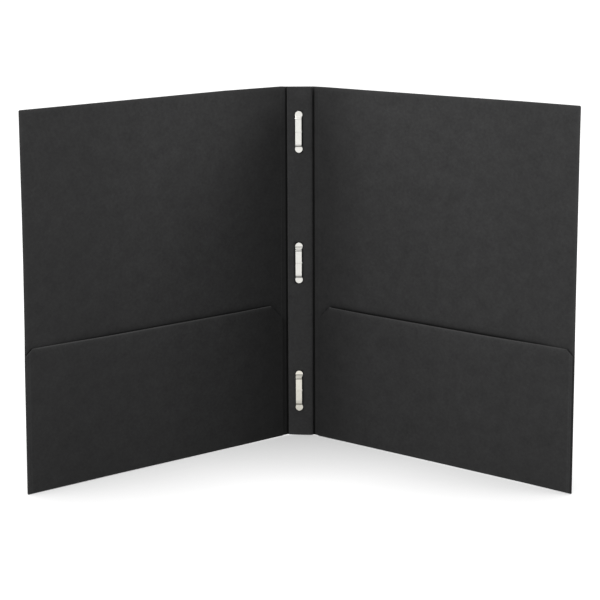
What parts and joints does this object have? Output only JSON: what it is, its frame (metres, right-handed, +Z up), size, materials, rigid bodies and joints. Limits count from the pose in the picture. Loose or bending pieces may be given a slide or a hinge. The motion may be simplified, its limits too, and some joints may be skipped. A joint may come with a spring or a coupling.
{
  "type": "pocket folder",
  "caption": "Paper folder standing open, with a flat spine, prong fasteners for punched sheets, and a pocket across the foot of each cover.",
  "frame": {"origin": "middle of the bounding box's base, on the surface that the folder stands on", "axes": "+Z up along the spine, +Y towards the spine's outside, +X towards the right-hand cover as a reader in front sees it"},
  "size_m": [0.4056, 0.1512, 0.2905],
  "materials": {
    "folder_board": "matte",
    "liner_paper": "matte",
    "fastener_metal": "satin"
  },
  "bodies": {
    "spine": {"spine_panel": "folder_board", "spine_liner": "liner_paper", "top_fastener_base": "fastener_metal", "middle_fastener_base": "fastener_metal", "bottom_fastener_base": "fastener_metal"},
    "left_cover": {"left_cover_panel": "folder_board", "left_bottom_fold": "folder_board", "left_side_tab": "folder_board"},
    "right_cover": {"right_cover_panel": "folder_board", "right_bottom_fold": "folder_board", "right_side_tab": "folder_board"},
    "left_pocket": {"left_pocket_panel": "folder_board"},
    "right_pocket": {"right_pocket_panel": "folder_board"},
    "top_upper_prong": {"top_upper_prong": "fastener_metal"},
    "top_lower_prong": {"top_lower_prong": "fastener_metal"},
    "middle_upper_prong": {"middle_upper_prong": "fastener_metal"},
    "middle_lower_prong": {"middle_lower_prong": "fastener_metal"},
    "bottom_upper_prong": {"bottom_upper_prong": "fastener_metal"},
    "bottom_lower_prong": {"bottom_lower_prong": "fastener_metal"}
  },
  "joints": [
    {"name": "left_cover_fold", "type": "hinge", "parent": "spine", "child": "left_cover", "pos_m": [-0.0112, 0.07537, 0], "axis": [0, 0, 1], "range_deg": [-38, 52]},
    {"name": "right_cover_fold", "type": "hinge", "parent": "spine", "child": "right_cover", "pos_m": [0.0112, 0.07537, 0], "axis": [0, 0, -1], "range_deg": [-38, 52]},
    {"name": "left_pocket_fold", "type": "hinge", "parent": "left_cover", "child": "left_pocket", "pos_m": [-0.01028, 0.07419, 0.0006], "axis": [0.788, 0.6157, 0], "range_deg": [0, 3.5], "stiffness_Nm_per_rad": 0.5},
    {"name": "right_pocket_fold", "type": "hinge", "parent": "right_cover", "child": "right_pocket", "pos_m": [0.01028, 0.07419, 0.0006], "axis": [0.788, -0.6157, 0], "range_deg": [0, 3.5], "stiffness_Nm_per_rad": 0.5},
    {"name": "top_upper_prong_bend", "type": "hinge", "parent": "spine", "child": "top_upper_prong", "pos_m": [-0.0012, 0.0723, 0.2542], "axis": [1, 0, 0], "range_deg": [0, 90]},
    {"name": "top_lower_prong_bend", "type": "hinge", "parent": "spine", "child": "top_lower_prong", "pos_m": [-0.0012, 0.0723, 0.2535], "axis": [-1, 0, 0], "range_deg": [0, 90]},
    {"name": "middle_upper_prong_bend", "type": "hinge", "parent": "spine", "child": "middle_upper_prong", "pos_m": [-0.0012, 0.0723, 0.14625], "axis": [1, 0, 0], "range_deg": [0, 90]},
    {"name": "middle_lower_prong_bend", "type": "hinge", "parent": "spine", "child": "middle_lower_prong", "pos_m": [-0.0012, 0.0723, 0.14555], "axis": [-1, 0, 0], "range_deg": [0, 90]},
    {"name": "bottom_upper_prong_bend", "type": "hinge", "parent": "spine", "child": "bottom_upper_prong", "pos_m": [-0.0012, 0.0723, 0.0383], "axis": [1, 0, 0], "range_deg": [0, 90]},
    {"name": "bottom_lower_prong_bend", "type": "hinge", "parent": "spine", "child": "bottom_lower_prong", "pos_m": [-0.0012, 0.0723, 0.0376], "axis": [-1, 0, 0], "range_deg": [0, 90]}
  ]
}
